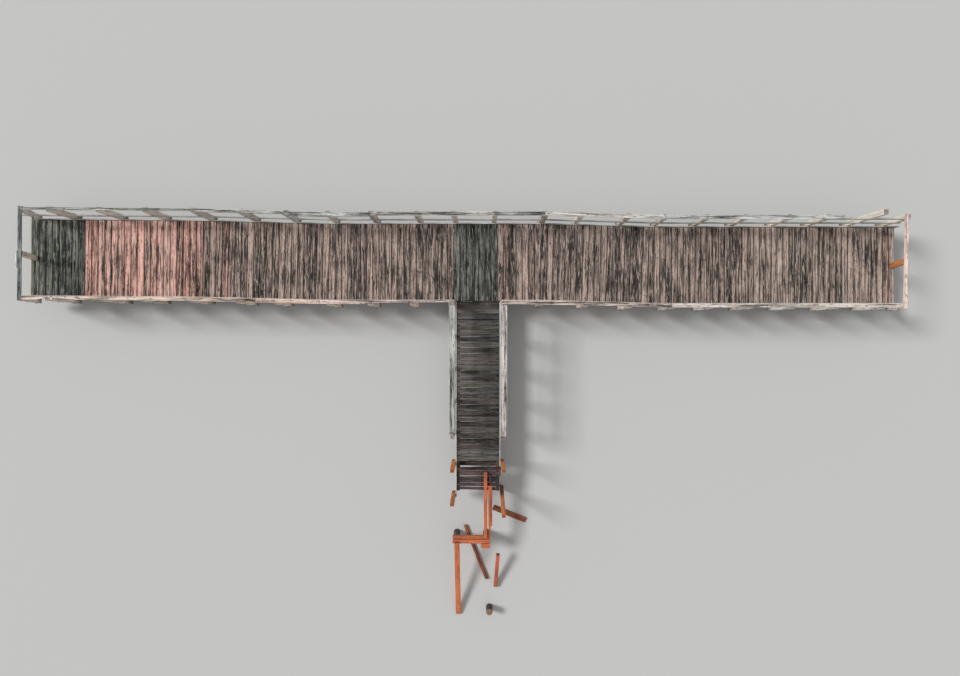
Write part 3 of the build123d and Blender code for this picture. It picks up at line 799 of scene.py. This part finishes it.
def make_materials(colours):
    """Every finish of the jetty, by the name of its slot."""
    timber_group(grain_group(), weather_group(), rings_group())
    # The shared pink is painted warm sunlight.
    shared = {"Growth": colours.lichen, "Painted sun": colours.painted_sun, "Damp": DAMP_WOOD}
    # The pale edges these recipes give are a painted highlight.
    recipes = {
        "deck_board": {
            "Pale": colours.deck_pale, "Dark": colours.deck_dark, "End": (0.09, 0.075, 0.06),
            "Lichen amount": 0.3, "Spot amount": 0.5, "Fleck amount": 0.7, "Speck amount": 0.8,
            "Edge dirt": 0.8, "Contrast": 8.0, "Lift": -0.12},
        "walkway_board": {
            "Pale": colours.walk_pale, "Dark": colours.walk_dark, "End": (0.06, 0.05, 0.042),
            "Lichen amount": 0.2, "Edge dirt": 0.6, "Speck amount": 0.6, "Contrast": 4.0},
        "cap_plank": {
            "Pale": colours.cap_pale, "Dark": colours.cap_dark, "End": (0.13, 0.11, 0.09),
            "Lichen amount": 0.1, "Painted edge highlight": 0.5, "Speck amount": 0.85, "Contrast": 7.5, "Lift": 0.08},
        "rail_board": {
            "Pale": colours.rail_pale, "Dark": (0.09, 0.085, 0.075), "End": (0.12, 0.10, 0.085),
            "Painted edge highlight": 0.7, "Lift": 0.1},
        "post_timber": {
            "Pale": colours.post_pale, "Dark": (0.055, 0.045, 0.036), "End": (0.46, 0.42, 0.38),
            "Lichen amount": 0.15, "Painted edge highlight": 0.5, "Lift": 0.25, "Damp": (0.085, 0.040, 0.026)},
        "under_timber": {
            "Pale": (0.13, 0.105, 0.08), "Dark": (0.03, 0.025, 0.02), "End": (0.07, 0.058, 0.045)},
        "pile_log": {
            "Pale": (0.15, 0.115, 0.085), "Dark": (0.03, 0.025, 0.02), "End": (0.42, 0.28, 0.17)},
        # The shore finish's orange colours are painted low sunlight over brown wood.
        "shore_timber": {
            "Pale": colours.shore_pale_and_sun, "Dark": (0.10, 0.038, 0.022), "End": (0.16, 0.08, 0.05),
            "Lichen amount": 0.0, "Painted edge highlight": 0.3, "Lift": 0.1},
    }
    for slot, values in recipes.items():
        timber_material(slot, {**shared, **values})
    rust_material()


def material(name):
    """The finish of that name; all the finishes are made on first use."""
    if WORN + name not in bpy.data.materials:
        make_materials(bpy.context.scene.jetty_colours)
    return bpy.data.materials[WORN + name]


# Timber by timber

def even_tint(low, high, tint=(1.0, 1.0, 1.0), vary=0.06):
    """A tint whose tone lies between two values, and whose colour varies a little round the given one."""
    def pick(timber, rng):
        shade = np.array(tint) * (1 + rng.uniform(-vary, vary, 3) * (1, 0.5, 1))
        return rng.uniform(low, high), 0.0, shade
    return pick


def deck_tint(timber, rng):
    """Boards vary one by one round the tone of their stretch of the deck; some are pinker, with painted warm
    sunlight.
    """
    where = timber["middle"][0] + rng.uniform(-BOARD_DRIFT, BOARD_DRIFT)
    tint, tone, share = next(values for end, *values in DECK_STRETCHES if where < end)
    painted_sun = rng.uniform() < share
    pink = rng.uniform(0.5, 1.0) * (LONE_PINK + (1 - LONE_PINK) * share) if painted_sun else 0.0
    tone = 0.5 + tone + rng.uniform(-BOARD_TONE, BOARD_TONE)
    return tone, pink, np.array(tint) * rng.uniform(1 - BOARD_LIGHT, 1 + BOARD_LIGHT)


def post_tint(timber, rng):
    """Posts are grey, and past the walkway's broken caps orange brown, which is painted low sunlight."""
    if timber["middle"][1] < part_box("walkway_left_cap")[0].y - PAINTED_SUN_FROM:
        return even_tint(0.5, 0.9, PAINTED_SUN_TINT, vary=0.08)(timber, rng)
    return even_tint(0.3, 0.8, GREY_TINT, vary=0.04)(timber, rng)


def finish(**changes):
    """How a timber is worn, from the user's sizes and some changes.

    End_rim is how edge-like its end rims are, step the distance between its rings, ragged how far each end
    is splintered, and damp the level that damp ends at and the depth it fades in.
    """
    sizes = bpy.context.scene.jetty_sizes
    base = {"edge": sizes.edge_round, "wear": sizes.wear, "check": sizes.check_depth, "end_rim": 1.0,
            "step": 0.12, "ragged": (0.003, 0.003), "tint": even_tint(0.3, 0.7), "damp": (-1.0, 1.0)}
    return {**base, **changes}


def draw_checks(rng, sides, count):
    """Checks at random places of some sides, less those too close to one on the same side."""
    kept = []
    for _ in range(count):
        side, place = rng.choice(sides), rng.uniform(-CHECK_REACH, CHECK_REACH)
        if all(side != other or abs(place - where) > CHECK_APART for other, where in kept):
            kept.append((side, place))
    return kept


def build_timbers(name, nodes, slot, how, seed, wide=4, deep=2, check_sides=(1,), check_count=2):
    """One piece for each node, with every solid of it as a worn timber with its own checks and tint."""
    for number, node in enumerate(nodes):
        rng = np.random.default_rng(seed * 100 + number)
        parts = []
        for timber in read_timbers(node):
            if timber["round"]:
                outline = round_outline(rng.uniform(0.3, 6.0, 3))
            else:
                outline = sawn_outline(wide, deep, draw_checks(rng, check_sides, check_count))
            parts.append(timber_surface(timber, outline, rng, how))
        make_piece(f"{node}_{name}", parts, material(slot), [node])


def deck_level():
    """The height of the deck's top."""
    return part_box("head_deck_middle")[1].z


def bolt_studs(timber, out, heights, sizes):
    """Bolts through a post at some heights, each a washer with a head, on its face towards out.

    The face lies off the post's middle by its half sections turned that way. A bolt that would reach out of
    the solids' box is sunk by as much.
    """
    studs = []
    low, high = section(timber, heights)
    for height, middle, half in zip(heights, (low + high) / 2, (high - low) / 2):
        centre = np.array([height, *middle]) @ timber["axes"]
        reach = abs(timber["axes"][1:] @ out) @ half
        face = centre + out * (reach - sizes.wear)
        tip = (face + out * (WASHER_HEIGHT + sizes.bolt_height))[:2]
        over = max(0.0, *(tip - cad_bounds[1][:2]), *(np.array(cad_bounds[0][:2]) - tip))
        face = face - out * (over + BOLT_CLEARANCE)
        studs.append(stud_surface(face, out, sizes.washer, WASHER_HEIGHT, sides=16))
        face = face + out * WASHER_HEIGHT
        studs.append(stud_surface(face, out, sizes.bolt_head, sizes.bolt_height, sides=6))
    return studs


def nail_studs(timber, shares, sizes):
    """Nails in a board's top, in rows across it at some shares of its length, and a little proud of it."""
    sunk = sizes.wear * 0.9
    up = np.array([0.0, 0.0, 1.0])
    studs = []
    start, end = timber["ends"]
    stations = start + np.array(shares) * (end - start)
    for station, low, high in zip(stations, *section(timber, stations)):
        for share in NAILS_ACROSS:
            across = low[0] + share * (high[0] - low[0])
            place = np.array([station, across, high[1] - sunk]) @ timber["axes"]
            studs.append(stud_surface(place, up, sizes.nail_head, height=0.002, sides=8))
    return studs


class JETTY_OT_deck(bpy.types.Operator):
    """Lay the head's deck boards, each worn in its own way"""

    bl_idname = "jetty.deck"
    bl_label = "Head deck"

    def execute(self, context):
        how = finish(tint=deck_tint, ragged=(0.012, 0.012), end_rim=0.0, edge=0.003)
        build_timbers("boards", [*HEAD_DECKS, "walkway_sill"], "deck_board", how, seed=1, **BOARD_OUTLINE)
        return {"FINISHED"}


class JETTY_OT_walkway_deck(bpy.types.Operator):
    """Lay the walkway's boards and the loose ones beyond them"""

    bl_idname = "jetty.walkway_deck"
    bl_label = "Walkway deck"

    def execute(self, context):
        how = finish(tint=even_tint(0.25, 0.85, (1.0, 1.0, 0.97)), ragged=(0.012, 0.012), end_rim=0.0,
                     edge=0.003)
        build_timbers("boards", ["walkway_deck"], "walkway_board", how, seed=2, **BOARD_OUTLINE)
        how = finish(tint=even_tint(0.15, 0.6, (0.88, 0.72, 0.77), vary=0.12), ragged=(0.03, 0.03),
                     end_rim=0.4)
        build_timbers("boards", ["loose_boards"], "walkway_board", how, seed=3, **BOARD_OUTLINE)
        return {"FINISHED"}


class JETTY_OT_caps(bpy.types.Operator):
    """Make the bleached caps of the railings; the walkway's two are broken off"""

    bl_idname = "jetty.caps"
    bl_label = "Caps"

    def execute(self, context):
        sizes = context.scene.jetty_sizes
        for seed, (node, (tint, low, high)) in enumerate(CAP_LOOKS.items(), start=4):
            how = finish(tint=even_tint(low, high, tint), step=0.08)
            build_timbers("planks", [node], "cap_plank", how, seed, check_count=3, **BOARD_OUTLINE)
        for seed, (node, tint) in enumerate(BROKEN_CAP_TINTS.items(), start=20):
            how = finish(tint=even_tint(0.25, 0.5, tint, vary=0.02), step=0.05,
                         ragged=(sizes.fray, 0.01), check=sizes.check_depth * 1.3)
            build_timbers("plank", [node], "cap_plank", how, seed, wide=9, deep=1, check_count=6)
        return {"FINISHED"}


class JETTY_OT_rails(bpy.types.Operator):
    """Make the mid rails, the rail let into the last posts, and the kerbs"""

    bl_idname = "jetty.rails"
    bl_label = "Rails and kerbs"

    def execute(self, context):
        how = finish(edge=0.004, step=0.15, tint=even_tint(0.3, 0.9, vary=0.08))
        build_timbers("boards", RAILS, "rail_board", how, seed=7, wide=1, deep=4, check_sides=(0, 2))
        how["damp"] = (deck_level() - 0.02, 0.25)
        build_timbers("boards", KERBS, "rail_board", how, seed=8, wide=1, deep=5, check_sides=(0, 2))
        return {"FINISHED"}


class JETTY_OT_posts(bpy.types.Operator):
    """Make the railing posts, with checks down their faces and damp feet"""

    bl_idname = "jetty.posts"
    bl_label = "Posts"

    def execute(self, context):
        nodes = [*BOLTED_POSTS, "left_end_post", "leaning_post"]
        how = finish(step=0.09, edge=0.006, damp=(deck_level() + 0.05, 0.3), tint=post_tint)
        build_timbers("timbers", nodes, "post_timber", how, seed=9, **POST_OUTLINE)
        # The right end post's orange is painted low sunlight.
        how = {**how, "tint": even_tint(0.5, 0.9, PAINTED_SUN_TINT, vary=0.08), "damp": (0.0, 1.0)}
        build_timbers("timbers", ["right_end_post"], "post_timber", how, seed=14, **POST_OUTLINE)
        return {"FINISHED"}


class JETTY_OT_underframe(bpy.types.Operator):
    """Make the joists and bearers under the decks"""

    bl_idname = "jetty.underframe"
    bl_label = "Joists and bearers"

    def execute(self, context):
        how = finish(step=0.2)
        build_timbers("timbers", UNDER_TIMBERS, "under_timber", how, seed=10, wide=2, deep=3,
                      check_sides=(0, 2))
        return {"FINISHED"}


class JETTY_OT_piles(bpy.types.Operator):
    """Make the round piles, uneven logs with long checks and wet feet"""

    bl_idname = "jetty.piles"
    bl_label = "Piles"

    def execute(self, context):
        depth = context.scene.jetty_sizes.check_depth * 1.6
        how = finish(step=0.05, wear=0.006, check=depth, damp=(0.4, 0.4))
        build_timbers("logs", PILES, "pile_log", how, seed=11)
        return {"FINISHED"}


class JETTY_OT_shore(bpy.types.Operator):
    """Make the ruined timbers at the shore end"""

    bl_idname = "jetty.shore"
    bl_label = "Shore timbers"

    def execute(self, context):
        for seed, (node, tones) in enumerate(SHORE_TONES.items(), start=15):
            how = finish(step=0.07, edge=0.007, wear=0.004, ragged=(0.02, 0.02), damp=(0.12, 0.15),
                         tint=even_tint(*tones))
            build_timbers("timbers", [node], "shore_timber", how, seed, wide=4, deep=3,
                          check_sides=(0, 1, 2), check_count=4)
        return {"FINISHED"}


class JETTY_OT_bolts(bpy.types.Operator):
    """Bolt each post to its kerb and rail, with a washer under each head"""

    bl_idname = "jetty.bolts"
    bl_label = "Bolts"

    def execute(self, context):
        rail_low, rail_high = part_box("back_mid_rail")
        heights = np.array([*(deck_level() - drop for drop in BOLT_DROPS), (rail_low.z + rail_high.z) / 2])
        studs = []
        for node, facing in BOLTED_POSTS.items():
            for timber in read_timbers(node):
                studs += bolt_studs(timber, np.array([*facing, 0.0]), heights, context.scene.jetty_sizes)
        make_piece("post_bolts", studs, material("iron"))
        return {"FINISHED"}


class JETTY_OT_nails(bpy.types.Operator):
    """Nail the deck boards to their joists"""

    bl_idname = "jetty.nails"
    bl_label = "Nails"

    def execute(self, context):
        rows = {**dict.fromkeys(HEAD_DECKS, HEAD_NAILS), "walkway_deck": WALKWAY_NAILS}
        studs = []
        for node, shares in rows.items():
            for timber in read_timbers(node):
                studs += nail_studs(timber, shares, context.scene.jetty_sizes)
        make_piece("deck_nails", studs, material("iron"))
        return {"FINISHED"}


class JETTY_OT_stage(bpy.types.Operator):
    """Set the pale floor, the even sky, the soft lamp and the camera that looks straight down"""

    bl_idname = "jetty.stage"
    bl_label = "Stage"

    def execute(self, context):
        scene = context.scene
        settings = scene.jetty_stage
        bpy.ops.mesh.primitive_plane_add(size=120, location=(0, 0, -FLOOR_DROP))
        floor = context.object
        floor.name = "floor"
        surface = bpy.data.materials.new("floor")
        surface.use_nodes = True
        shader = surface.node_tree.nodes["Principled BSDF"]
        shader.inputs["Base Color"].default_value = opaque(scene.jetty_colours.floor)
        shader.inputs["Roughness"].default_value = 0.9
        floor.data.materials.append(surface)

        scene.world = scene.world or bpy.data.worlds.new("world")
        scene.world.use_nodes = True
        sky = scene.world.node_tree.nodes["Background"]
        sky.inputs["Color"].default_value = opaque((1.0, 1.0, 1.0))
        sky.inputs["Strength"].default_value = settings.sky_level
        lamp = bpy.data.lights.new("soft_lamp", "SUN")
        lamp.energy = settings.lamp_level
        lamp.angle = math.radians(15)
        in_scene("soft_lamp", lamp).rotation_euler = (math.radians(-12), math.radians(-42), 0)

        camera = bpy.data.cameras.new("camera")
        camera.lens = settings.lens
        camera.clip_end = 200
        low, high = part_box("walkway_deck")
        scene.camera = in_scene("camera", camera)
        scene.camera.location = ((low.x + high.x) / 2 + CAMERA_SHIFT[0], high.y + CAMERA_SHIFT[1],
                                 deck_level() + settings.camera_height)
        scene.view_settings.view_transform = "Standard"
        return {"FINISHED"}


class JETTY_PT_panel(bpy.types.Panel):
    """Buttons for each part of the jetty"""

    bl_label = "Jetty"
    bl_idname = "JETTY_PT_panel"
    bl_space_type = "VIEW_3D"
    bl_region_type = "UI"
    bl_category = "Jetty"

    def draw(self, context):
        for operator in OPERATORS:
            self.layout.operator(operator.bl_idname)
        for settings in GROUPS:
            group = getattr(context.scene, settings)
            for name in group.__annotations__:
                self.layout.prop(group, name)


OPERATORS = (JETTY_OT_deck, JETTY_OT_walkway_deck, JETTY_OT_caps, JETTY_OT_rails, JETTY_OT_posts,
             JETTY_OT_underframe, JETTY_OT_piles, JETTY_OT_shore, JETTY_OT_bolts, JETTY_OT_nails,
             JETTY_OT_stage)
GROUPS = {"jetty_sizes": JettyTimberSizes, "jetty_colours": JettyColours, "jetty_stage": JettyStage}
CLASSES = (*GROUPS.values(), *OPERATORS, JETTY_PT_panel)


def register():
    """Make the classes and settings known."""
    for known in CLASSES:
        bpy.utils.register_class(known)
    for name, group in GROUPS.items():
        setattr(bpy.types.Scene, name, bpy.props.PointerProperty(type=group))


def unregister():
    """Take the classes and settings away again."""
    for name in GROUPS:
        delattr(bpy.types.Scene, name)
    for known in reversed(CLASSES):
        bpy.utils.unregister_class(known)


def main():
    """Build everything in order."""
    register()
    bpy.ops.jetty.stage()
    bpy.ops.jetty.deck()
    bpy.ops.jetty.walkway_deck()
    bpy.ops.jetty.caps()
    bpy.ops.jetty.rails()
    bpy.ops.jetty.posts()
    bpy.ops.jetty.underframe()
    bpy.ops.jetty.piles()
    bpy.ops.jetty.shore()
    bpy.ops.jetty.bolts()
    bpy.ops.jetty.nails()


if __name__ == "__main__":
    main()
